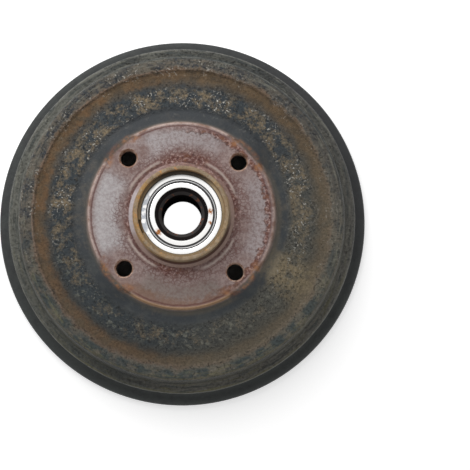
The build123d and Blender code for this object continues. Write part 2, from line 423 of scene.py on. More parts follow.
apply_modifier(casting, "BOOLEAN", operation="DIFFERENCE", object=cutter, solver="EXACT")
bpy.data.objects.remove(cutter)
casting_points = points_of(casting)
kept_along = np.empty(len(casting_points), np.float32)
casting.data.attributes["along"].data.foreach_get("value", kept_along)
height = casting_points[:, 2]
hole_low, hole_high = 40.0, plate_height + 0.5
in_hole = (bolt_distance(casting_points) < sink_r + 0.8) & (height > hole_low) & (height < hole_high)
plate_along = along["plate_inner"] + np.hypot(casting_points[:, 0], casting_points[:, 1]) - cone_foot_r
casting_along = np.where(in_hole, plate_along, kept_along)
keep_attribute(casting, "along", casting_along)
print("bolt holes cut; casting now has", faces_of(casting), "triangles")

# %% [markdown]
# ## Rust relief
# Sand-cast iron is never smooth, and rust lifts it further: the dish is pimpled with scale, the shoulder
# is lumpy, and the machined plate and braking face stay almost flat. Two Displace modifiers press this
# into the mesh, so that it is in the geometry and not only in the shading. A vertex group says how much.

# %% Weigh each zone and press the relief in
def weigh(piece, name, weights):
    """A vertex group with one weight for each vertex."""
    group = piece.vertex_groups.new(name=name)
    levels = 20
    for step in range(1, levels + 1):
        low = (step - 0.5) / levels
        chosen = np.nonzero((weights >= low) & (weights < low + 1 / levels))[0]
        if len(chosen):
            group.add(chosen.tolist(), step / levels, "REPLACE")
    return group.name


def along_profile(stops):
    """A value at every vertex of the casting, from (corner, offset in mm, value) stops along the section."""
    places = [along[corner] + offset for corner, offset, _ in stops]
    return np.interp(casting_along, places, [value for _, _, value in stops])


clear_of_holes = ease(sink_r + 0.8, sink_r + 2.5, bolt_distance(casting_points))
lump_weight = clear_of_holes * along_profile([
    ("mouth", 0, 0.0), ("plate_inner", -0.3, 0.0), ("plate_inner", 0.5, 0.45), ("plate_inner", 7, 0.25),
    ("plate_edge", -3, 0.08), ("plate_edge", 1, 0.25), ("plate_foot", 0, 0.35), ("apron_end", 0, 0.6),
    ("apron_end", 4, 1.0), ("groove_inner", -4, 0.8), ("groove_outer", 0, 0.5), ("shoulder_inner", 1, 0.8),
    ("shoulder_edge", -1, 0.7), ("shoulder_foot", 0, 0.4), ("band_edge", 0, 0.35), ("band_foot", 0, 0.3),
    ("rim_top", -3, 0.25), ("rim_top", -1, 0.0), ("brake_corner", -1, 0.0), ("brake_corner", 4, 0.5),
    ("barrel_root", 0, 0.6), ("barrel_edge", -2, 0.4), ("barrel_edge", 0, 0.0), ("groove_back_high", 0, 0.0),
])
scale_weight = clear_of_holes * along_profile([
    ("mouth", 0, 0.0), ("plate_inner", 0, 0.0), ("plate_inner", 1, 0.35), ("plate_inner", 8, 0.1),
    ("plate_edge", -2, 0.05), ("plate_foot", 2, 0.15), ("apron_end", -1, 0.3), ("apron_end", 3, 1.0),
    ("groove_inner", -6, 0.9), ("groove_inner", -1, 0.4), ("shoulder_inner", 0, 0.45),
    ("shoulder_edge", 0, 0.6), ("shoulder_foot", 0, 0.3), ("band_edge", 0, 0.25), ("rim_top", -3, 0.15),
    ("rim_top", -1, 0.0), ("brake_corner", 1, 0.0), ("web_under_outer", 0, 0.4), ("barrel_root", 0, 0.4),
    ("barrel_edge", -1, 0.0), ("groove_back_high", 0, 0.0),
])


def press_relief(piece, weights, name, grain, depth, height):
    """Displace the piece along its normals by a cloud pattern of this grain size."""
    pattern = bpy.data.textures.new(name, "CLOUDS")
    pattern.noise_scale = grain * mm
    pattern.noise_depth = depth
    apply_modifier(
        piece, "DISPLACE", texture=pattern, texture_coords="LOCAL", strength=height * mm,
        mid_level=0.5, vertex_group=weigh(piece, name, weights),
    )
    bpy.data.textures.remove(pattern)
    print(f"{name}: {height} mm high, {grain} mm across")


press_relief(casting, lump_weight, "casting lumps", 9.0, 2, 0.9)
press_relief(casting, scale_weight, "rust scale", 2.6, 1, 0.75)
casting.vertex_groups.clear()
smooth(casting, 40)

# %% [markdown]
# ## The bearing
# A sealed double row bearing: one outer ring, an inner ring in two halves, a seal at each end and a snap
# ring that holds it in the hub. Ground edges are rounded a little, because a perfectly sharp edge never
# catches the light. The balls and cages inside stay as the measured solids.

# %% Turn the rings
bearing_face = 57.0
bearing_back = 14.0
bearing_middle = (bearing_face + bearing_back) / 2
ball_circle_r = 21.0
race_r = 4.05
ring_steps = 180


def turn_piece(name, corners, steps=ring_steps, angle=full_turn):
    """A turned piece from (radius, height, rounding) corners in millimetres."""
    outline = [(r * mm, z * mm) for r, z, _ in corners]
    piece = draw_section(name, outline)
    for i, (_, _, rounding) in enumerate(corners):
        if rounding > 0:
            before, after = outline[i - 1], outline[(i + 1) % len(outline)]
            round_corner(piece, before, outline[i], after, rounding * mm, 3)
    spin_section(piece, steps, angle)
    smooth(piece)
    print(name, "has", faces_of(piece), "triangles")
    return piece


def race(row, start, end, points=9):
    """Corners along a ball groove, between two angles seen from the ball's centre."""
    angles = np.radians(np.linspace(start, end, points))
    return [(ball_circle_r + race_r * math.cos(a), row + race_r * math.sin(a), 0) for a in angles]


def race_angle(land_r):
    """How far round the groove a land of this radius meets it, in degrees."""
    return math.degrees(math.acos((land_r - ball_circle_r) / race_r))


row_offset = 9.5
outboard_row = bearing_middle + row_offset
inboard_row = bearing_middle - row_offset
end_land, middle_land = race_angle(22.5), race_angle(22.2)
high_land, low_land = race_angle(20.2), race_angle(17.8)
outer_ring = turn_piece("outer_ring", [
    (27.49, bearing_back, 0.8), (27.49, bearing_face, 0.8), (22.5, bearing_face, 0.3),
    *race(outboard_row, end_land, -middle_land), *race(inboard_row, middle_land, -end_land),
    (22.5, bearing_back, 0.3),
])


def inner_half(name, outward, mouth):
    """Half of the inner ring. outward is 1 for the wheel side and -1 for the other."""
    row = bearing_middle + outward * row_offset
    face = bearing_middle + outward * (bearing_face - bearing_middle)
    groove = race(row, outward * (360 - low_land), outward * high_land)
    return turn_piece(name, [
        (12.5, bearing_middle, 0.15), (17.8, bearing_middle, 0.15), *groove, (20.2, face, 0.35), *mouth,
    ])


outboard_inner = inner_half("outboard_inner", 1, [
    (17.0, bearing_face, 0.4), (14.7, bearing_face - 1.4, 0.5), (12.5, bearing_face - 3.6, 0.8),
])
inboard_inner = inner_half("inboard_inner", -1, [
    (14.5, bearing_back, 0.3), (12.5, bearing_back + 2.0, 0.5),
])

# %% Turn the seals and the snap ring
def turn_seal(name, face, inwards):
    """A steel case with a rubber lip inside it and a rubber bead outside it."""
    steps_in = [
        (20.35, 1.4, 0), (20.35, 0.5, 0.2), (20.95, 0.5, 0.2), (21.1, 0.85, 0.1), (21.2, 0.4, 0.15),
        (21.85, 0.4, 0.2), (22.0, 0.9, 0.1), (22.49, 0.9, 0.1), (22.49, 3.4, 0.1), (21.59, 3.4, 0.1),
        (21.59, 1.4, 0),
    ]
    return turn_piece(name, [(r, face + inwards * depth, rounding) for r, depth, rounding in steps_in])


outboard_lip = turn_seal("outboard_lip", bearing_face, -1)
inboard_lip = turn_seal("inboard_lip", bearing_back, 1)

snap_gap = 2 * math.asin(4.5 / 27.0)
snap_ring = turn_piece("snap_ring", [
    (25.5, bearing_face, 0.2), (28.4, bearing_face, 0.2), (28.4, 59.0, 0.2), (25.5, 59.0, 0.5),
], angle=full_turn - snap_gap)
snap_ring.data.transform(Matrix.Rotation(math.pi + snap_gap / 2, 4, "Z"))

# %% [markdown]
# ## What each piece stands for
# A new piece hides the solid that it stands for, rides on the same body and takes that body's motion.
# The inner ring turns, so both its halves ride on it. All else that shows is fixed to the drum.

# %% Put the pieces on their bodies
stand_ins = [
    (casting, "drum", "brake_drum", "rusted_iron"),
    (outer_ring, "drum", "bearing_outer_ring", "bearing_steel"),
    (snap_ring, "drum", "bearing_snap_ring", "spring_steel"),
    (outboard_lip, "drum", "outboard_seal", "seal_rubber"),
    (inboard_lip, "drum", "inboard_seal", "seal_rubber"),
    (outboard_inner, "inner_ring", "outboard_inner_ring", "bearing_steel"),
    (inboard_inner, "inner_ring", "inboard_inner_ring", "bearing_steel"),
]
for piece, body, node, material_slot in stand_ins:
    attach(piece, body)
    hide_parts(node)
print(len(stand_ins), "pieces stand for their solids")

# %% [markdown]
# ## Finishes
# Every finish is a small graph of shader nodes on Object coordinates, so it stays put when a piece turns
# and it can be baked. A short class keeps the graphs readable: each method adds one or a few nodes, wires
# what it is given and returns the socket that carries the result. A share is a value from 0 to 1 that says
# where something lies, and paint lays a colour on the coat where several shares meet.

# %% A short way to write shader nodes
def seen(red, green, blue):
    """A colour as it is seen on a screen, 0 to 255, in the linear values that shaders take."""
    def linear(value):
        share = value / 255
        return share / 12.92 if share <= 0.04045 else ((share + 0.055) / 1.055) ** 2.4
    return (linear(red), linear(green), linear(blue), 1.0)


class Finish:
    """One material and short ways to add nodes to it."""

    def __init__(self, name):
        self.material = bpy.data.materials.new(name)
        self.material.use_nodes = True
        self.tree = self.material.node_tree
        self.shader = self.tree.nodes["Principled BSDF"]
        self.coat = None
        coordinates = self.node("ShaderNodeTexCoord").outputs["Object"]
        scaled = self.node("ShaderNodeVectorMath", {0: coordinates, 3: 1 / mm}, operation="SCALE")
        self.place = scaled.outputs[0]
        self.x, self.y, self.z = self.node("ShaderNodeSeparateXYZ", {0: self.place}).outputs
        self.radius = self.length(self.x, self.y)

    def node(self, kind, inputs=None, **settings):
        made = self.tree.nodes.new(kind)
        for key, value in settings.items():
            setattr(made, key, value)
        for key, value in (inputs or {}).items():
            self.wire(made.inputs[key], value)
        return made

    def wire(self, socket, value):
        if isinstance(value, bpy.types.NodeSocket):
            self.tree.links.new(value, socket)
        else:
            socket.default_value = value

    def math(self, operation, first, second=0.0, third=0.0, clamp=False):
        inputs = {0: first, 1: second, 2: third}
        return self.node("ShaderNodeMath", inputs, operation=operation, use_clamp=clamp).outputs[0]

    def rise(self, value, low, high):
        """0 below low, 1 above high. With low above high it falls instead."""
        inputs = {"Value": value, "From Min": low, "From Max": high}
        return self.node("ShaderNodeMapRange", inputs, interpolation_type="SMOOTHSTEP").outputs[0]

    def between(self, value, low, high, soft):
        """1 from low to high, with soft ends."""
        return self.meet(self.rise(value, low - soft, low + soft), self.rise(value, high + soft, high - soft))

    def meet(self, *shares):
        """The product of the shares: high only where all of them are."""
        result = shares[0]
        for share in shares[1:]:
            result = self.math("MULTIPLY", result, share)
        return result

    def total(self, start, *terms):
        """A weighted sum of (weight, value) terms on top of a start."""
        result = start
        for weight, value in terms:
            result = self.math("MULTIPLY_ADD", value, weight, result)
        return result

    def toward(self, x_weight, y_weight, low, high):
        """A rise across the piece, in the direction that the two weights give."""
        return self.rise(self.total(0.0, (x_weight, self.x), (y_weight, self.y)), low, high)

    def length(self, first, second):
        """The length of a line that runs first along X and second along Y."""
        return self.math("SQRT", self.math("ADD", self.meet(first, first), self.meet(second, second)))

    def size_of(self, value):
        """The value without its sign."""
        return self.math("ABSOLUTE", value)

    def shaken(self, value, noise, width):
        """The value moved up and down by noise, over this width."""
        return self.math("MULTIPLY_ADD", self.math("SUBTRACT", noise, 0.5), width, value)

    def noise(self, size, detail=4.0, rough=0.6, shift=0.0):
        """Cloudy noise round 0.5, with features of about this size in millimetres."""
        inputs = {0: self.place, 1: (shift, 2 * shift, -shift)}
        moved = self.node("ShaderNodeVectorMath", inputs, operation="ADD").outputs[0]
        inputs = {"Vector": moved, "Scale": 1 / size, "Detail": detail, "Roughness": rough}
        return self.node("ShaderNodeTexNoise", inputs).outputs[0]

    def cracks(self, size, bend):
        """Distance from the bent edges between scales of about this size, as a share of the size."""
        cloud = self.node("ShaderNodeTexNoise", {"Vector": self.place, "Scale": 1 / size, "Detail": 3.0})
        inputs = {0: cloud.outputs["Color"], 1: (bend, bend, bend), 2: self.place}
        bent = self.node("ShaderNodeVectorMath", inputs, operation="MULTIPLY_ADD").outputs[0]
        inputs = {"Vector": bent, "Scale": 1 / size}
        return self.node("ShaderNodeTexVoronoi", inputs, feature="DISTANCE_TO_EDGE").outputs["Distance"]

    def mix(self, share, below, above, blend="MIX"):
        inputs = {0: share, 6: below, 7: above}
        return self.node("ShaderNodeMix", inputs, data_type="RGBA", blend_type=blend).outputs[2]

    def paint(self, colour, *shares):
        """Lay a colour on the coat where all the shares meet."""
        self.coat = self.mix(self.meet(*shares), self.coat, colour)

    def ramp(self, value, stops):
        """Colours along a value from 0 to 1, from (place, colour) stops in order."""
        made = self.node("ShaderNodeValToRGB", {0: value})
        elements = made.color_ramp.elements
        elements.remove(elements[1])
        for number, (place, colour) in enumerate(stops):
            element = elements[0] if number == 0 else elements.new(place)
            element.position = place
            element.color = colour
        return made.outputs[0]

    def bump(self, height, distance, strength=1.0):
        inputs = {"Height": height, "Distance": distance * mm, "Strength": strength}
        self.wire(self.shader.inputs["Normal"], self.node("ShaderNodeBump", inputs).outputs[0])

    def set(self, **values):
        for key, value in values.items():
            self.wire(self.shader.inputs[key.replace("_", " ")], value)

    def dress(self, *pieces):
        for piece in pieces:
            piece.data.materials.clear()
            piece.data.materials.append(self.material)


# %% [markdown]
# ## Rusted iron
# From the hub outwards the photo shows tan spigot metal, a red-brown ring of rust, a pinkish grey machined
# plate with a bright bevelled edge, dark slate paint, a band of scale with ochre blotches and pale specks,
# a brown groove, a mottled shoulder and a nearly black rim. Two ramps along the section hold these
# colours: one for the ground and one for the patches on it. Noise picks between them.

# %% Colours along the outside of the section
mouth_brown, tan, ochre_gold = seen(118, 88, 54), seen(136, 120, 99), seen(156, 126, 82)
cone_pink, plate_pink, plate_brown = seen(152, 131, 124), seen(141, 124, 120), seen(112, 88, 83)
bevel_pale, bevel_brown = seen(180, 160, 152), seen(138, 108, 92)
slate, slate_brown = seen(47, 51, 54), seen(76, 72, 66)
dish_slate, dish_ochre, dish_brown = seen(51, 57, 61), seen(126, 111, 88), seen(84, 76, 66)
groove_rust, groove_dark = seen(98, 81, 61), seen(70, 61, 50)
ridge_pale, shoulder_brown, shoulder_navy = seen(108, 90, 75), seen(104, 97, 86), seen(48, 52, 58)
wall_grey, wall_dark = seen(80, 80, 75), seen(64, 66, 64)
edge_pale, rim_slate, rim_black = seen(122, 121, 114), seen(55, 58, 57), seen(45, 47, 47)


def zones(stops):
    """Ramp stops from (corner, millimetres past it, colour) along the section."""
    return [((along[corner] + past) / along_total, colour) for corner, past, colour in stops]


ground_zones = zones([
    ("groove_high", 0.0, mouth_brown), ("mouth", -0.4, mouth_brown), ("mouth", 0.4, tan),
    ("spigot_wall_foot", 1.4, tan), ("spigot_wall_foot", 2.0, cone_pink), ("cone_foot", 0.0, cone_pink),
    ("plate_inner", 1.0, plate_pink), ("plate_edge", -1.1, plate_pink), ("plate_edge", -0.6, bevel_pale),
    ("plate_edge", 1.2, bevel_pale), ("plate_foot", 0.3, slate_brown), ("plate_foot", 1.8, slate),
    ("apron_end", 0.0, slate), ("apron_end", 2.5, dish_slate), ("groove_inner", -7.0, dish_slate),
    ("groove_inner", -3.0, dish_brown), ("groove_inner", 0.5, groove_rust),
    ("groove_outer", 0.4, groove_rust), ("shoulder_inner", -0.5, ridge_pale),
    ("shoulder_inner", 0.7, ridge_pale), ("shoulder_inner", 1.6, shoulder_brown),
    ("shoulder_edge", 0.5, shoulder_brown), ("shoulder_edge", 3.0, wall_grey),
    ("band_edge", -1.7, wall_grey), ("band_edge", -0.7, edge_pale), ("band_edge", 0.5, edge_pale),
    ("band_edge", 1.8, rim_slate), ("rim_bottom", 0.0, rim_slate),
])
patch_zones = zones([
    ("groove_high", 0.0, mouth_brown), ("mouth", 0.0, ochre_gold), ("spigot_wall_foot", 1.4, ochre_gold),
    ("spigot_wall_foot", 2.0, plate_brown), ("plate_inner", 1.0, plate_brown),
    ("plate_edge", -0.6, plate_brown), ("plate_edge", 0.0, bevel_brown), ("plate_edge", 1.6, bevel_brown),
    ("plate_foot", -0.5, slate_brown), ("apron_end", 0.0, slate_brown), ("apron_end", 2.0, dish_ochre),
    ("groove_inner", -9.0, dish_ochre), ("groove_inner", -6.0, slate_brown),
    ("groove_inner", -2.0, groove_dark), ("shoulder_inner", -0.6, groove_dark),
    ("shoulder_inner", 0.4, shoulder_brown), ("shoulder_inner", 1.8, shoulder_navy),
    ("shoulder_edge", 0.5, shoulder_navy), ("shoulder_edge", 3.0, wall_dark), ("band_edge", -1.0, wall_dark),
    ("band_edge", 1.8, rim_black), ("rim_bottom", 0.0, rim_black),
])
print(len(ground_zones), "ground colours and", len(patch_zones), "patch colours along the section")


# %% How patchy, specked and rough each zone is
def amounts(threshold, specks, roughness):
    """Three numbers carried along the section as one colour."""
    return (threshold, specks, roughness, 1.0)


amount_zones = zones([
    ("groove_high", 0.0, amounts(0.55, 0.0, 0.5)), ("spigot_wall_foot", 0.0, amounts(0.56, 0.0, 0.6)),
    ("plate_inner", 2.0, amounts(0.56, 0.0, 0.6)), ("plate_edge", 0.0, amounts(0.51, 0.0, 0.55)),
    ("plate_foot", 0.0, amounts(0.54, 0.0, 0.5)), ("apron_end", -1.0, amounts(0.55, 0.1, 0.5)),
    ("apron_end", 2.0, amounts(0.51, 0.9, 0.6)), ("groove_inner", -11.0, amounts(0.52, 1.0, 0.65)),
    ("groove_inner", -6.0, amounts(0.53, 0.3, 0.75)), ("groove_inner", -1.0, amounts(0.53, 0.0, 0.8)),
    ("shoulder_inner", 0.0, amounts(0.52, 0.5, 0.7)), ("shoulder_inner", 2.0, amounts(0.5, 0.8, 0.6)),
    ("shoulder_edge", 0.0, amounts(0.52, 0.5, 0.6)), ("shoulder_foot", 0.0, amounts(0.53, 0.1, 0.55)),
    ("band_edge", 1.0, amounts(0.5, 0.0, 0.5)), ("rim_bottom", 0.0, amounts(0.5, 0.0, 0.5)),
])
print(len(amount_zones), "steps of patchiness, specks and roughness")

# %% Noises, and places along the section
iron = Finish("rusted_iron")
section_place = iron.node("ShaderNodeAttribute", attribute_name="along").outputs["Fac"]
broad = iron.noise(30.0, 2.0, 0.5)
medium = iron.noise(9.0, 4.0, 0.6, shift=40.0)
blotch = iron.noise(9.5, 3.0, 0.6, shift=250.0)
patch = iron.noise(4.6, 6.0, 0.72, shift=70.0)
fine = iron.noise(2.1, 4.0, 0.72, shift=310.0)
grain = iron.noise(1.5, 4.0, 0.72, shift=90.0)
crumbs = iron.noise(1.5, 2.0, 0.55, shift=130.0)


def strip(start, past_start, end, past_end, soft):
    """1 along a part of the section, between two places given in millimetres past its corners."""
    return iron.between(section_place, along[start] + past_start, along[end] + past_end, soft)


rough_zone = strip("apron_end", -1.0, "band_edge", 0.0, 2.0)
lower_side = iron.rise(iron.y, 10.0, -70.0)
left_side = iron.rise(iron.x, 25.0, -60.0)
leftness = iron.rise(iron.x, 2.0, -26.0)
print("noises from 30 down to 1.5 mm across")

# %% Ground and patches
wandering = iron.shaken(section_place, medium, iron.total(0.8, (9.0, rough_zone)))
ramp_place = iron.math("DIVIDE", wandering, along_total)
ground = iron.ramp(ramp_place, ground_zones)
patches = iron.ramp(ramp_place, patch_zones)
amount = iron.node("ShaderNodeSeparateColor", {0: iron.ramp(ramp_place, amount_zones)})
threshold, glint_speck_amount, iron_roughness = amount.outputs

mottle = iron.total(0.0, (0.4, patch), (0.4, blotch), (0.2, grain), (-0.05, lower_side))
patch_share = iron.math("MULTIPLY_ADD", iron.math("SUBTRACT", mottle, threshold), 9.0, 0.5, clamp=True)
faded = iron.mix(iron.meet(rough_zone, iron.rise(crumbs, 0.45, 0.62)), patches, ground)
iron.coat = iron.mix(patch_share, ground, iron.mix(0.45, patches, faded))
print("ground and patches use", len(iron.tree.nodes), "nodes")

# %% [markdown]
# ## The spigot's ring and cone
# The spigot's rim is tan where the wheel rubs on it, golden at the left, worn grey in places and spotted with
# orange. Below it a red-brown cone runs down to the plate. Its rust thins towards the lower right and it is
# painted paler round its sides, as painted light, and nearly white at the left, a painted highlight where it
# faces the light. A dark red-brown line under the rim along its lower side is a painted shadow.

# %% Tan rim
rim_gold, rim_worn, rim_orange, rim_shade = (
    seen(172, 128, 62), seen(160, 146, 128), seen(190, 128, 58), seen(98, 76, 50)
)
on_rim = strip("mouth", -3.2, "spigot_wall_foot", 1.4, 0.4)
gold_share = iron.total(0.15, (0.45, leftness))
iron.paint(rim_gold, on_rim, gold_share, iron.rise(medium, 0.36, 0.6))
iron.paint(rim_worn, on_rim, iron.rise(patch, 0.48, 0.62), 0.5)
rim_spots = iron.noise(4.2, 3.0, 0.6, shift=330.0)
iron.paint(rim_orange, on_rim, iron.rise(rim_spots, 0.6, 0.7), 0.7)
iron.paint(rim_shade, on_rim, iron.rise(fine, 0.46, 0.36), 0.45)
print("the rim's four colours are on")

# %% Pale and rusty cone
# Rust colours over fine noise, from dark red-brown granules up to pale; the palest stop is a painted
# highlight, glints on the granules.
rust_and_glints = iron.ramp(fine, [
    (0.38, seen(60, 31, 28)), (0.47, seen(99, 60, 52)),
    (0.55, seen(132, 95, 87)), (0.65, seen(194, 164, 157)),
])
rust_and_glints = iron.mix(iron.meet(iron.rise(patch, 0.5, 0.62), 0.6), rust_and_glints, seen(122, 76, 44))
cone_highlight_grey, cone_painted_light, cone_highlight_white, rim_shadow_brown = (
    seen(160, 146, 146), seen(166, 142, 130), seen(186, 178, 180), seen(62, 32, 20)
)
on_cone = strip("spigot_wall_foot", 1.7, "plate_inner", 0.2, 0.4)
# Painted light: the cone's rust thins towards the lower right and it is painted paler round its sides and at
# the left; nearly white at the far left is a painted highlight.
iron.paint(rust_and_glints, on_cone, iron.total(0.55, (-0.3, iron.toward(1.0, -0.6, 0.0, 30.0))))
iron.paint(cone_highlight_grey, on_cone, leftness, 0.4)
off_top = iron.total(0.0, (0.8, iron.size_of(iron.x)), (-1.0, iron.y))
iron.paint(cone_painted_light, on_cone, iron.rise(off_top, 2.0, 26.0), 0.6)
iron.paint(cone_highlight_white, on_cone, iron.rise(iron.x, -22.0, -29.0), iron.between(iron.y, -13.0, 15.0, 4.0), 0.8)
# A painted shadow: a dark red-brown line just under the rim, along the cone's lower side.
under_rim = strip("spigot_wall_foot", 0.6, "spigot_wall_foot", 2.9, 0.3)
iron.paint(rim_shadow_brown, under_rim, iron.toward(0.2, -1.0, 3.0, 18.0), iron.rise(iron.x, -27.0, -10.0), 0.9)
print("spigot and cone painted,", len(iron.tree.nodes), "nodes so far")

# %% [markdown]
# ## The wheel plate's own marks
# The plate was machined and then rusted again where the wheel did not touch it. It is palest between the
# holes, mostly on the left. Fine red-brown rust gathers at the spigot's foot and inside the bevel; at the
# foot it thins towards the lower right, painted light where the spigot shades the plate. Four raised arcs are
# rubbed bright, with painted shade along both their sides, and the bevel fades out at the pads, with an
# orange spot at its ends. The bevel is painted tan at the bottom and duller on the right, as painted shade.

# %% Pale panels
panel_right, panel_left, panel_low = seen(150, 141, 141), seen(176, 172, 173), seen(118, 107, 101)
mottle_brown = seen(108, 82, 77)
on_plate = strip("plate_inner", 0.0, "plate_edge", -0.6, 0.3)
fold_x, fold_y = (iron.math("SUBTRACT", iron.size_of(axis), bolt_xy) for axis in (iron.x, iron.y))
from_bolt = iron.length(fold_x, fold_y)
panel_edge = iron.total(0.0, (1.0, from_bolt), (14.0, medium))
panel = iron.meet(
    iron.rise(iron.total(iron.radius, (4.0, leftness)), 40.5, 48.5),
    iron.rise(iron.radius, 59.0, 53.0),
    iron.rise(panel_edge, 16.0, 26.0),
)
panel_colour = iron.mix(left_side, panel_right, panel_left)
panel_colour = iron.mix(iron.rise(iron.y, -18.0, -44.0), panel_colour, panel_low)
iron.paint(panel_colour, panel, on_plate, 0.85)
mottling = iron.rise(iron.total(0.0, (0.6, fine), (0.4, grain)), 0.54, 0.42)
iron.paint(mottle_brown, mottling, on_plate, iron.total(0.5, (-0.3, iron.meet(panel, left_side))))
print("panels lie between holes", round(2 * bolt_xy, 2), "mm apart")

# %% Rust at the spigot's foot and inside the bevel
crack_brown = seen(88, 52, 48)
spread = iron.math("SUBTRACT", iron.meet(iron.x, iron.x), iron.meet(iron.y, iron.y))
off_diagonal = iron.size_of(iron.math("DIVIDE", spread, iron.meet(iron.radius, iron.radius)))
arc = iron.rise(off_diagonal, 0.78, 0.56)
ragged = iron.total(-10.0, (9.0, medium), (11.0, patch), (2.4, leftness))
ragged_radius = iron.math("ADD", iron.radius, ragged)
at_sides = iron.rise(iron.size_of(iron.x), 22.0, 36.0)
# Painted light: rust at the spigot's foot thins towards the lower right, where the spigot's shadow falls.
near_foot = iron.meet(
    iron.rise(iron.total(ragged_radius, (2.5, at_sides)), 43.0, 38.0),
    iron.total(1.0, (-0.4, arc)),
    iron.total(1.0, (-0.65, iron.toward(0.7, -0.7, 14.0, 36.0))),
)
near_bevel = iron.meet(
    iron.rise(ragged_radius, 53.0, 55.0),
    iron.toward(1.0, 0.25, -12.0, 40.0),
    iron.rise(iron.radius, 57.8, 56.6),
    0.95,
)
rust_cover = iron.math("MAXIMUM", near_foot, near_bevel)
rust_share = iron.meet(rust_cover, iron.total(0.6, (0.35, iron.rise(fine, 0.6, 0.46))), on_plate)
iron.paint(rust_and_glints, rust_share)
crack = iron.rise(iron.cracks(2.6, 2.8), 0.16, 0.04)
crack_place = iron.meet(iron.rise(iron.radius, 50.0, 40.0), iron.rise(medium, 0.38, 0.54))
iron.paint(crack_brown, crack, on_plate, crack_place, 0.65)
print("rust and cracks painted,", len(iron.tree.nodes), "nodes so far")

# %% Bright arcs and the bevel
arc_bright, arc_shade_brown, bottom_brown = seen(178, 163, 155), seen(84, 52, 48), seen(112, 80, 60)
line_brown, bevel_shade_tan, bevel_shade_dull = seen(88, 54, 49), seen(172, 138, 108), seen(112, 92, 82)
arc_place = iron.shaken(iron.radius, patch, 0.8)
iron.paint(arc_bright, arc, iron.between(arc_place, 35.9, 37.3, 0.5), on_plate, 0.75)
# Painted shade: dark lines along both sides of each raised arc.
arc_side_shade = iron.math(
    "MAXIMUM", iron.between(arc_place, 34.2, 35.1, 0.4), iron.between(arc_place, 38.2, 38.9, 0.4)
)
iron.paint(arc_shade_brown, arc, arc_side_shade, on_plate, 0.55)
iron.paint(bottom_brown, iron.rise(ragged_radius, 52.0, 57.0), iron.rise(iron.y, -36.0, -50.0), on_plate, 0.6)
bevel_line = iron.between(iron.shaken(iron.radius, patch, 1.6), 57.1, 58.1, 0.4)
line_share = iron.total(0.8, (-0.6, iron.rise(iron.x, 25.0, 50.0)))
iron.paint(line_brown, bevel_line, iron.rise(panel_edge, 20.5, 25.0), on_plate, line_share)
on_bevel = strip("plate_edge", -0.6, "plate_edge", 3.2, 0.5)
# Painted shade: the bevel is painted tan at the bottom and duller on the right, away from the light.
iron.paint(bevel_shade_tan, on_bevel, iron.rise(iron.y, -36.0, -52.0))
iron.paint(bevel_shade_dull, on_bevel, iron.rise(iron.x, 30.0, 50.0), 0.35)
print("arcs at a radius of", foot_arc_r, "mm")

# %% Apron, pads and holes
apron_halo, apron_cloud, apron_dark = seen(88, 80, 68), seen(66, 68, 66), seen(39, 43, 47)
hole_shade_dark, hole_rust, hole_highlight_pale = seen(50, 36, 30), seen(146, 108, 86), seen(194, 168, 152)
on_apron = strip("plate_foot", 0.5, "apron_end", 1.0, 1.0)
halo = strip("plate_foot", 0.3, "plate_foot", 3.0, 1.2)
iron.paint(apron_halo, halo, iron.toward(0.8, -0.6, 5.0, 50.0), 0.6)
iron.paint(apron_cloud, on_apron, iron.rise(medium, 0.44, 0.6), 0.4)
iron.paint(apron_dark, on_apron, iron.rise(iron.y, 10.0, 60.0), 0.7)
pad_place = iron.shaken(iron.radius, patch, 9.0)
pad_colour = iron.mix(iron.rise(pad_place, 55.5, 59.5), iron.mix(0.5, plate_pink, rust_and_glints), slate_brown)
pad_colour = iron.mix(iron.rise(pad_place, 58.0, 62.5), pad_colour, slate)
pad_zone = strip("plate_edge", -1.2, "plate_foot", 9.0, 0.8)
iron.paint(pad_colour, pad_zone, iron.rise(panel_edge, 25.0, 20.5))
spot_ring = iron.meet(iron.between(iron.radius, 55.5, 61.5, 2.0), iron.between(from_bolt, 10.0, 15.5, 2.0))
spot_colour = iron.mix(iron.rise(medium, 0.42, 0.56), seen(116, 78, 60), seen(150, 104, 68))
iron.paint(spot_colour, spot_ring, iron.rise(patch, 0.36, 0.6), 0.85)
# Painted shade and light in the holes: the walls are dark deep down, and near the top rust is mixed with
# pale, a painted highlight on the upper wall.
hole_wall = iron.meet(iron.rise(from_bolt, 6.9, 6.3), iron.between(iron.z, 40.0, 51.95, 0.1))
hole_rust_and_highlight = iron.mix(iron.rise(fine, 0.42, 0.58), hole_rust, hole_highlight_pale)
iron.paint(iron.mix(iron.rise(iron.z, 41.0, 48.0), hole_shade_dark, hole_rust_and_highlight), hole_wall)
print("plate, pads and holes painted,", len(iron.tree.nodes), "nodes so far")

# %% [markdown]
# ## Scale, specks and stains on the web
# The dish carries clusters of pale specks, painted glints on the scale that are fewer and dimmer towards the
# bottom, and dark pits between them, painted as shade in the pits. A greyish ochre stain runs outwards at the
# lower right, and the groove is most orange at the left. A painted highlight runs along the groove's ridge
# towards the left, and the web is painted darker towards the bottom, as shade. The noise that lifts the
# specks also lifts the surface, so they catch the light.

# %% Where the specks and pits are
# Pale specks painted as glints on the scale: fewer towards the bottom and the outer right, and only where
# clusters and the zone allow.
outer_right = iron.meet(iron.rise(iron.radius, 94.0, 97.0), iron.rise(iron.x, -10.0, 50.0))
glint_speck_share = iron.meet(
    iron.rise(crumbs, 0.57, 0.66),
    iron.rise(iron.noise(11.0, 3.0, 0.6, shift=150.0), 0.45, 0.58),
    glint_speck_amount,
    iron.total(1.0, (-0.5, lower_side)),
    iron.total(1.0, (-0.65, outer_right)),
)
groove_zone = iron.between(wandering, along["groove_inner"] - 3.0, along["groove_outer"] + 0.6, 1.2)
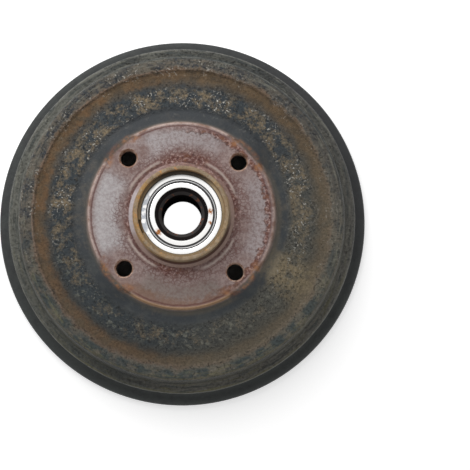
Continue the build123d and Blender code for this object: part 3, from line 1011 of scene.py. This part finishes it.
# Dark pits in the rough zone, fewer in the groove; their dark is painted shade in the pits.
pits = iron.rise(iron.noise(1.7, 3.0, 0.6, shift=210.0), 0.43, 0.34)
shade_pit_share = iron.meet(pits, rough_zone, iron.total(1.0, (-0.75, groove_zone)))
print("specks, pits and the groove have their places")

# %% Groove, dish and stain
groove_orange, ridge_highlight, low_shade_slate = seen(112, 82, 54), seen(160, 134, 115), seen(66, 70, 69)
low_shade_dark, spot_grey, right_ochre = seen(58, 62, 63), seen(120, 121, 111), seen(108, 103, 90)
iron.paint(groove_orange, groove_zone, left_side, iron.rise(medium, 0.4, 0.6), 0.5)
# Painted highlight along the ridge at the groove's outer edge, towards the left.
ridge = strip("shoulder_inner", -0.5, "shoulder_inner", 0.5, 0.45)
iron.paint(ridge_highlight, ridge, iron.toward(-1.0, 0.4, -10.0, 70.0), iron.rise(medium, 0.38, 0.56), 0.35)
# Painted shade: the rough zone and the outer dish are painted darker towards the bottom.
iron.paint(low_shade_slate, rough_zone, lower_side, 0.25)
iron.paint(low_shade_dark, strip("groove_inner", -9.0, "groove_inner", -2.0, 2.0), lower_side, 0.45)
soft_spots = iron.rise(iron.noise(3.6, 2.0, 0.5, shift=170.0), 0.56, 0.68)
on_dish = strip("apron_end", 3.0, "groove_inner", -7.0, 2.0)
iron.paint(spot_grey, soft_spots, on_dish, iron.total(0.1, (0.6, lower_side)))
iron.paint(right_ochre, rough_zone, iron.toward(0.9, -0.5, 20.0, 85.0), 0.42)

stain_out = iron.total(0.0, (0.875, iron.x), (-0.485, iron.y))
stain_side = iron.total(-9.0, (0.485, iron.x), (0.875, iron.y), (18.0, medium))
stain = iron.meet(iron.between(stain_out, 66.0, 94.0, 8.0), iron.between(stain_side, -9.0, 14.0, 8.0))
stain_break = iron.rise(iron.total(0.0, (0.6, patch), (0.4, blotch)), 0.36, 0.54)
iron.paint(seen(132, 119, 95), stain, stain_break, 0.9)
# Painted shade in the pits.
iron.paint(seen(38, 38, 38), shade_pit_share, 0.55)
# Painted highlight: the glints are paler above and dimmer towards the bottom.
iron.paint(iron.mix(lower_side, seen(200, 196, 187), seen(126, 124, 113)), glint_speck_share, 0.9)
print("web painted,", len(iron.tree.nodes), "nodes so far")

# %% [markdown]
# ## The shoulder and the drum's side
# Outside the groove the iron steps down to the rim over a shoulder, a steep wall and a ledge. Edges that
# get knocked are worn pale on their upper side, which is also a painted highlight. The wall and ledge carry
# painted light and shade: paler at the left, lifted on the ledge where the wall shades it, dark on the wall
# at the bottom, and with painted highlights along the edges at the bottom. Turning and weather have left
# streaks that run round the drum. The streaks are noise on coordinates that go round the axle and down the
# section.

# %% Worn edges, wall and ledge
not_low = iron.math("SUBTRACT", 1.0, lower_side)
# Knocked edges are worn pale, kept off the bottom, so the paler paint is also a painted highlight on the lit
# side.
worn_and_lit_edge = strip("shoulder_edge", 0.2, "shoulder_edge", 2.0, 0.6)
iron.paint(seen(146, 145, 138), worn_and_lit_edge, iron.rise(patch, 0.5, 0.62), not_low, 0.7)
on_ledge = strip("shoulder_foot", -1.0, "band_edge", -0.5, 0.8)
on_wall = strip("shoulder_edge", 1.5, "shoulder_foot", -2.0, 1.5)
upper_wall = strip("shoulder_edge", -1.0, "shoulder_foot", -1.0, 1.0)
# Painted light on the ledge towards the lower right, where the wall shades it.
iron.paint(seen(118, 116, 110), on_ledge, iron.toward(0.7, -0.7, 30.0, 90.0), 0.6)
# Painted shade: the wall is darker at the bottom.
iron.paint(seen(48, 48, 46), on_wall, iron.rise(iron.y, -70.0, -96.0), 0.6)
iron.paint(seen(54, 58, 57), upper_wall, iron.toward(0.5, 1.0, 30.0, 95.0), 0.8)
# Painted highlights: the ledge and the wall are paler at the left, where the light falls.
iron.paint(seen(114, 114, 106), on_ledge, iron.rise(iron.x, -40.0, -90.0), 0.55)
iron.paint(seen(112, 112, 104), on_wall, iron.rise(iron.x, -50.0, -95.0), 0.45)
iron.paint(seen(46, 46, 48), iron.rise(iron.radius, 97.0, 101.0), iron.toward(1.0, 0.6, 70.0, 140.0), 0.62)
bottom = iron.rise(iron.y, -60.0, -95.0)
# Painted highlights along the shoulder's edge and the ledge's edge at the bottom.
iron.paint(seen(112, 108, 78), strip("shoulder_edge", -1.0, "shoulder_edge", 0.4, 0.5), bottom, 0.45)
iron.paint(seen(88, 86, 64), strip("band_edge", -1.4, "band_edge", 0.3, 0.5), bottom, 0.7)
on_shoulder = strip("shoulder_inner", 2.0, "shoulder_edge", -1.0, 1.0)
iron.paint(seen(62, 69, 68), on_shoulder, lower_side, iron.rise(blotch, 0.4, 0.56))
# Painted light on the ledge at the right.
iron.paint(seen(108, 106, 100), on_ledge, iron.rise(iron.x, 50.0, 95.0), 0.4)
print("shoulder, wall and ledge painted,", len(iron.tree.nodes), "nodes so far")

# %% Streaks and shade
round_scale, down_scale = 7.0, 0.6
turned = [iron.math("DIVIDE", axis, iron.radius) for axis in (iron.x, iron.y)]
streak_inputs = {
    0: iron.meet(turned[0], round_scale),
    1: iron.meet(turned[1], round_scale),
    2: iron.meet(section_place, down_scale),
}
streak_place = iron.node("ShaderNodeCombineXYZ", streak_inputs).outputs[0]
streak_inputs = {"Vector": streak_place, "Scale": 1.0, "Detail": 4.0, "Roughness": 0.6}
streak = iron.node("ShaderNodeTexNoise", streak_inputs).outputs[0]
streaked = strip("shoulder_inner", 3.0, "band_edge", 0.5, 1.5)
streak_pale = iron.mix(lower_side, seen(118, 118, 108), seen(104, 101, 76))
iron.paint(streak_pale, streaked, iron.rise(streak, 0.52, 0.64), 0.6)
iron.paint(seen(56, 63, 64), streaked, iron.rise(streak, 0.48, 0.36), 0.6)

# Grain and broad noise vary the tone at random; the rough zone is also painted a little darker towards the
# bottom, as shade.
shade = iron.shaken(1.0, grain, iron.total(0.7, (1.0, rough_zone)))
shade = iron.total(-0.15, (1.0, shade), (0.3, broad), (-0.07, iron.meet(lower_side, rough_zone)))
grey = iron.node("ShaderNodeCombineColor", {0: shade, 1: shade, 2: shade}).outputs[0]
iron.coat = iron.mix(1.0, iron.coat, grey, "MULTIPLY")
print("outside painted,", len(iron.tree.nodes), "nodes so far")

# %% [markdown]
# ## Inside the drum
# The braking face is turned grey, with fine rings from the shoes and a rusty lip at each end. The web's
# underside and the hub barrel were never painted and have gone brown all over.

# %% Inside colours
brake_grey, lip_rust = seen(122, 118, 114), seen(112, 78, 52)
inside_brown, inside_rust, turned_grey = seen(82, 66, 53), seen(104, 74, 50), seen(124, 116, 108)
inside_zones = zones([
    ("rim_bottom", 0.0, rim_slate), ("rim_bottom", 2.0, inside_brown), ("brake_entry", -2.0, lip_rust),
    ("brake_entry", 3.0, lip_rust), ("brake_entry", 4.5, brake_grey), ("brake_corner", -3.5, brake_grey),
    ("brake_corner", -2.0, lip_rust), ("brake_corner", 4.0, inside_brown), ("barrel_edge", -1.0, inside_rust),
    ("barrel_edge", 1.0, turned_grey), ("stop_inner", 0.0, turned_grey),
    ("groove_back_high", 0.0, turned_grey),
])
inside = iron.ramp(iron.math("DIVIDE", section_place, along_total), inside_zones)
inside = iron.mix(iron.rise(mottle, 0.46, 0.56), inside, inside_rust)
shoe_inputs = {"W": iron.z, "Scale": 1.4, "Detail": 3.0}
shoe_rings = iron.node("ShaderNodeTexNoise", shoe_inputs, noise_dimensions="1D").outputs[0]
on_brake = strip("brake_entry", 4.0, "brake_corner", -3.0, 0.5)
ring_colour = iron.mix(iron.rise(shoe_rings, 0.4, 0.62), seen(104, 98, 94), seen(142, 138, 134))
inside = iron.mix(iron.meet(on_brake, 0.8), inside, ring_colour)
print(len(inside_zones), "colours inside the drum")

# %% Colour, roughness and bump of the iron
inner_side = iron.rise(section_place, along["rim_bottom"] + 0.5, along["rim_bottom"] + 2.0)
iron.paint(inside, inner_side, iron.math("SUBTRACT", 1.0, hole_wall))
iron.set(
    Base_Color=iron.coat,
    Roughness=iron_roughness,
    Metallic=iron.meet(on_brake, 0.5),
    Specular_IOR_Level=0.25,
)
scaled_grain = iron.meet(grain, iron.total(0.25, (0.75, rough_zone)))
relief = iron.total(0.0, (1.0, scaled_grain), (0.5, glint_speck_share), (-0.5, shade_pit_share), (0.4, rust_share))
iron.bump(relief, 1.3)
iron.dress(casting)
print("rusted iron uses", len(iron.tree.nodes), "nodes")

# %% [markdown]
# ## Bearing finishes
# The ground faces of the rings are bright steel with the faint circles that grinding leaves. The bore is
# painted dark, as shade deep in the hole, and a few spots of rust sit on the face. The outer ring is painted
# grey towards the top, as a dark reflection, and a dark line at the seal's gap is painted shade. The seals
# are black rubber round a steel case, and the snap ring is spring steel that has gone brown, painted paler
# where the rim's shadow falls on it and darker at the top and inner edge, as shade.

# %% Bearing steel
steel = Finish("bearing_steel")
circles = steel.noise(0.35, 2.0, 0.5)
bore_dull, rim_dull = steel.rise(steel.radius, 17.2, 16.9), steel.rise(steel.radius, 25.6, 25.9)
seal_gap_shade = steel.between(steel.radius, 19.95, 20.7, 0.12)
dull = steel.math("MAXIMUM", steel.math("MAXIMUM", bore_dull, rim_dull), seal_gap_shade)
stain_noise = steel.rise(steel.noise(1.6, 4.0, 0.7), 0.4, 0.54)


def stain_at(x, y, size):
    """A round stain on the ring's face, broken up by noise."""
    away = steel.length(steel.math("SUBTRACT", steel.x, x), steel.math("SUBTRACT", steel.y, y))
    return steel.meet(steel.rise(away, size, 0.3 * size), stain_noise)


stained = steel.math("MAXIMUM", stain_at(18.6, 2.4, 2.9), stain_at(-14.2, -12.0, 3.2))
stained = steel.math("MAXIMUM", stained, stain_at(18.2, -5.0, 1.8))
# The bore is painted dark, as shade deep in the hole, with a dark grey chamfer, spots of rust on it and a
# dark wall lower down.
bore_shade_colour = steel.mix(steel.noise(5.0), seen(20, 20, 22), seen(38, 33, 31))
inner_cone = steel.between(steel.radius, 12.7, 14.6, 0.15)
bore_shade_colour = steel.mix(steel.meet(inner_cone, 0.8), bore_shade_colour, seen(70, 67, 66))
bore_spot = steel.rise(steel.noise(4.0, 2.0, 0.5, shift=60.0), 0.56, 0.66)
bore_shade_colour = steel.mix(steel.meet(bore_spot, inner_cone), bore_shade_colour, seen(112, 74, 58))
bore_shade_colour = steel.mix(steel.rise(steel.z, 50.0, 36.0), bore_shade_colour, seen(30, 29, 29))
print("three stains on the inner ring's face")

# %% The rings' faces
steel.coat = seen(244, 243, 241)
# A bluish grey patch at the left of the outer ring, broken by noise.
left_patch = steel.rise(steel.noise(3.6, 1.5, 0.5, shift=20.0), 0.42, 0.56)
left_patch_place = steel.meet(steel.rise(steel.x, -17.0, -23.0), steel.rise(steel.radius, 22.0, 23.0))
steel.paint(seen(150, 156, 166), left_patch_place, left_patch, 0.75)
# Painted dark reflection: the outer ring's outer part is grey towards the top.
steel.paint(seen(112, 110, 108), steel.toward(-0.4, 1.0, 12.0, 24.0), steel.rise(steel.radius, 23.2, 25.6))
steel.paint(seen(166, 106, 54), stained)
# Painted shade: a dark line at the inner ring's edge, in the gap beside the seal.
steel.paint(seen(82, 82, 84), seal_gap_shade)
steel.paint(bore_shade_colour, bore_dull)
steel.paint(seen(128, 106, 78), rim_dull)
steel.set(
    Base_Color=steel.coat,
    Roughness=steel.total(0.15, (0.12, circles), (0.4, dull), (0.25, stained)),
    Metallic=steel.math("SUBTRACT", 1.0, steel.math("MAXIMUM", dull, stained)),
    Specular_IOR_Level=0.0,
)
steel.dress(outer_ring, outboard_inner, inboard_inner)
print("bearing steel uses", len(steel.tree.nodes), "nodes")

# %% Rubber and spring steel
rubber = Finish("seal_rubber")
case_share = rubber.between(rubber.radius, 21.1, 21.9, 0.05)
rubber.set(
    Base_Color=rubber.mix(case_share, seen(38, 38, 40), seen(170, 170, 170)),
    Metallic=case_share,
    Roughness=rubber.total(0.35, (0.2, rubber.noise(0.8))),
)
rubber.dress(outboard_lip, inboard_lip)

spring = Finish("spring_steel")
spring.coat = spring.mix(spring.noise(3.0), seen(126, 106, 78), seen(154, 134, 104))
# Painted light: paler at the left and towards the upper right, where the rim's shadow falls on the ring.
spring.paint(seen(146, 126, 98), spring.rise(spring.x, -14.0, -25.0))
spring.paint(seen(196, 174, 140), spring.toward(0.6, 1.0, 14.0, 30.0))
# Painted shade: darker at the top and along the inner edge.
shaded = spring.mix(spring.noise(2.0), seen(60, 54, 47), seen(90, 81, 70))
in_shade, inner_edge = spring.rise(spring.y, 16.0, 25.0), spring.rise(spring.radius, 26.0, 25.7)
spring.paint(shaded, spring.math("MAXIMUM", in_shade, inner_edge))
spring.set(
    Base_Color=spring.coat,
    Roughness=spring.total(0.5, (0.3, spring.noise(1.0))),
    Specular_IOR_Level=0.1,
)
spring.dress(snap_ring)
print("seals and snap ring dressed")

# %% Balls and cages
ball = Finish("ball_steel")
ball.set(
    Base_Color=seen(222, 222, 226),
    Metallic=1.0,
    Roughness=ball.total(0.05, (0.06, ball.noise(1.5))),
)
ball.dress(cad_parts["outboard_ball_row"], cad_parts["inboard_ball_row"])

cage = Finish("cage_plastic")
cage.set(
    Base_Color=cage.mix(cage.noise(3.0), seen(196, 182, 150), seen(214, 202, 172)),
    Roughness=cage.total(0.4, (0.2, cage.noise(0.7))),
)
cage.bump(cage.noise(0.5), 0.05)
cage.dress(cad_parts["outboard_cage"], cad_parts["inboard_cage"])
print("finishes:", [material.name for material in bpy.data.materials])

# %% [markdown]
# ## Stage, light and camera
# The drum lies on a white floor under soft light, brightest from the upper left. The floor is white to the
# camera and still takes the drum's shadow. The camera looks almost straight down, from a place worked out
# from how the drum's rings shift against each other in the photo.

# %% Floor and world
scene = bpy.context.scene
scene.view_settings.view_transform = "Standard"
floor_size = 6.0
start_clean()
bpy.ops.mesh.primitive_plane_add(size=floor_size, location=(0, 0, 0))
floor = bpy.context.object
floor.name = "floor"


def sees_backdrop(tree):
    """1 for rays from the camera and for mirror and glass rays, else 0."""
    path = tree.nodes.new("ShaderNodeLightPath")
    total = path.outputs["Is Camera Ray"]
    for name in ("Is Glossy Ray", "Is Transmission Ray"):
        either = tree.nodes.new("ShaderNodeMath")
        either.operation = "MAXIMUM"
        tree.links.new(total, either.inputs[0])
        tree.links.new(path.outputs[name], either.inputs[1])
        total = either.outputs[0]
    return total


white_floor = Finish("white_floor")
# The floor glows white to the camera outside the rim and far off; under the bore it glows at full strength, a
# painted light that shows white through the bore although the drum shades that patch.
open_floor = white_floor.rise(white_floor.radius, rim_r - 6, rim_r - 2)
bore_patch_glow = white_floor.rise(white_floor.radius, 20.0, 18.0)
far_floor = white_floor.rise(white_floor.radius, 300.0, 1200.0)
lift = white_floor.total(0.0, (0.5, open_floor), (1.0, bore_patch_glow), (0.3, far_floor))
white_floor.set(
    Base_Color=(0.8, 0.8, 0.8, 1.0),
    Roughness=1.0,
    Specular_IOR_Level=0.0,
    Emission_Color=(1.0, 1.0, 1.0, 1.0),
    Emission_Strength=white_floor.meet(lift, sees_backdrop(white_floor.tree)),
)
white_floor.dress(floor)

fill_light = 0.42
world = bpy.data.worlds.new("studio")
scene.world = world
world.use_nodes = True
tree = world.node_tree
background = tree.nodes["Background"]
background.inputs["Color"].default_value = (1.0, 1.0, 1.0, 1.0)
level = tree.nodes.new("ShaderNodeMapRange")
level.inputs["To Min"].default_value = fill_light
level.inputs["To Max"].default_value = 1.0
tree.links.new(sees_backdrop(tree), level.inputs["Value"])
tree.links.new(level.outputs[0], background.inputs["Strength"])
print("floor", floor_size, "m across, fill light", fill_light)

# %% Lamp and camera
lamp_place = Vector((-0.26, 0.5, 0.62))
lamp_aim = Vector((0, 0, 0.03))
start_clean()
bpy.ops.object.light_add(type="AREA", location=lamp_place)
lamp = bpy.context.object
lamp.name = "window"
lamp.data.size = 0.8
lamp.data.energy = 6.3
lamp.rotation_euler = (lamp_aim - lamp_place).to_track_quat("-Z", "Y").to_euler()

picture_width = 470
focal_pixels = 1193.3
camera_place = Vector((18.8, -78.1, 809.2)) * mm
camera_angles = (5.012, 1.178, -1.92)
pitch, yaw, roll = (math.radians(angle) for angle in camera_angles)
forward = Vector((math.sin(yaw), math.cos(yaw) * math.sin(pitch), -math.cos(yaw) * math.cos(pitch)))
level_right = Vector((math.cos(yaw), -math.sin(yaw) * math.sin(pitch), math.sin(yaw) * math.cos(pitch)))
level_up = level_right.cross(forward)
right = math.cos(roll) * level_right - math.sin(roll) * level_up
up = math.sin(roll) * level_right + math.cos(roll) * level_up
start_clean()
bpy.ops.object.camera_add(location=camera_place)
camera = bpy.context.object
camera.data.sensor_width = 36.0
camera.data.lens = camera.data.sensor_width * focal_pixels / picture_width
camera.rotation_euler = Matrix((right, up, -forward)).transposed().to_euler()
scene.camera = camera
print("lens", round(camera.data.lens, 2), "mm")
print("camera", round(camera_place.length, 3), "m from the axle's foot")
